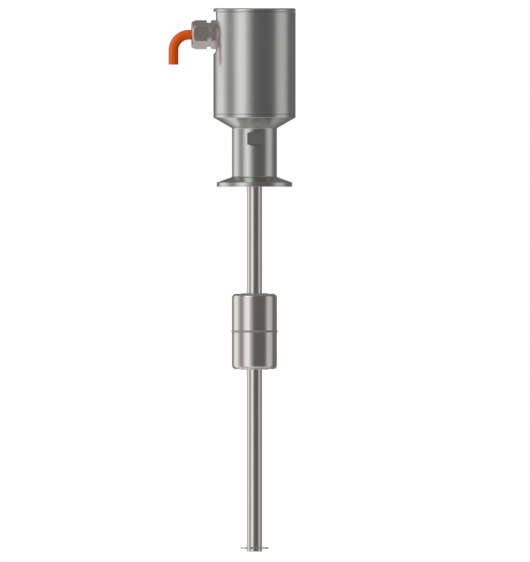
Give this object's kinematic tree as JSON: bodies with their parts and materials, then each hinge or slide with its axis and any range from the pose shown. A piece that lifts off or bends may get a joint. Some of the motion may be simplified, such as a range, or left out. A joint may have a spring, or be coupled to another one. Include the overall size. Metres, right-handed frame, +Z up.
{
  "type": "linear position sensor",
  "caption": "Hygienic linear position sensor: steel head with cable gland on a clamp ferrule, and a magnet float that slides on a straight guide tube.",
  "frame": {"origin": "centre of the clamp ferrule's sealing face, where the sensor seats on the vessel", "axes": "+Z up along the guide tube from its end to the head, the cable gland toward -X, one wrench flat toward -Y"},
  "size_m": [0.0851, 0.055, 0.3635],
  "materials": {
    "head_steel": "fine satin, turned",
    "tube_steel": "ground and polished lengthwise",
    "clip_steel": "stamped spring steel",
    "gland_metal": "satin",
    "plated_steel": "zinc plated",
    "black_rubber": "matte",
    "orange_sheath": "smooth extruded sheath, half matte",
    "core_insulation": "smooth",
    "tinned_copper": "tinned",
    "brass": "machined",
    "waveguide_alloy": "drawn wire",
    "enamelled_copper": "enamelled",
    "clear_polymer": "smooth",
    "black_plastic": "moulded",
    "white_plastic": "moulded",
    "magnet": "sintered",
    "circuit_board": "solder mask",
    "green_plastic": "moulded",
    "capacitor_can": "drawn can"
  },
  "bodies": {
    "sensor": {"base_o_ring": "black_rubber", "bias_magnet": "magnet", "board_connector": "black_plastic", "board_screws": "plated_steel", "cable_cores": "core_insulation", "cable_jacket": "orange_sheath", "capacitors": "capacitor_can", "centring_rings": "black_rubber", "coil_bobbin": "black_plastic", "end_damper": "black_rubber", "gland_body": "gland_metal", "gland_clamp_nut": "gland_metal", "gland_claw": "black_plastic", "gland_o_ring": "black_rubber", "gland_seal": "black_rubber", "guide_tube": "tube_steel", "housing_shell": "head_steel", "lower_pillars": "plated_steel", "pickup_coil": "enamelled_copper", "pickup_leads": "enamelled_copper", "process_connection": "head_steel", "processor": "black_plastic", "retaining_clip": "clip_steel", "return_wire": "enamelled_copper", "sensing_head_carrier": "black_plastic", "shield_can": "plated_steel", "signal_board": "circuit_board", "terminal_block": "green_plastic", "terminal_board": "circuit_board", "terminal_screws": "plated_steel", "tube_end_plug": "tube_steel", "upper_pillars": "plated_steel", "waveguide_clamp": "brass", "waveguide_sleeve": "clear_polymer", "waveguide_wire": "waveguide_alloy", "wire_crimp": "brass", "wire_end_ferrules": "tinned_copper"},
    "float": {"float_bore_tube": "tube_steel", "float_lower_shell": "tube_steel", "float_magnet_carrier": "white_plastic", "float_magnets": "magnet", "float_upper_shell": "tube_steel"},
    "lid": {"housing_lid": "head_steel", "lid_o_ring": "black_rubber"}
  },
  "joints": [
    {"name": "float_slide", "type": "slide", "parent": "sensor", "child": "float", "axis": [0, 0, 1], "range_m": [-0.1185, 0.0709]},
    {"name": "lid_lift", "type": "slide", "parent": "sensor", "child": "lid", "axis": [0, 0, 1], "range_m": [0, 0.03]}
  ]
}
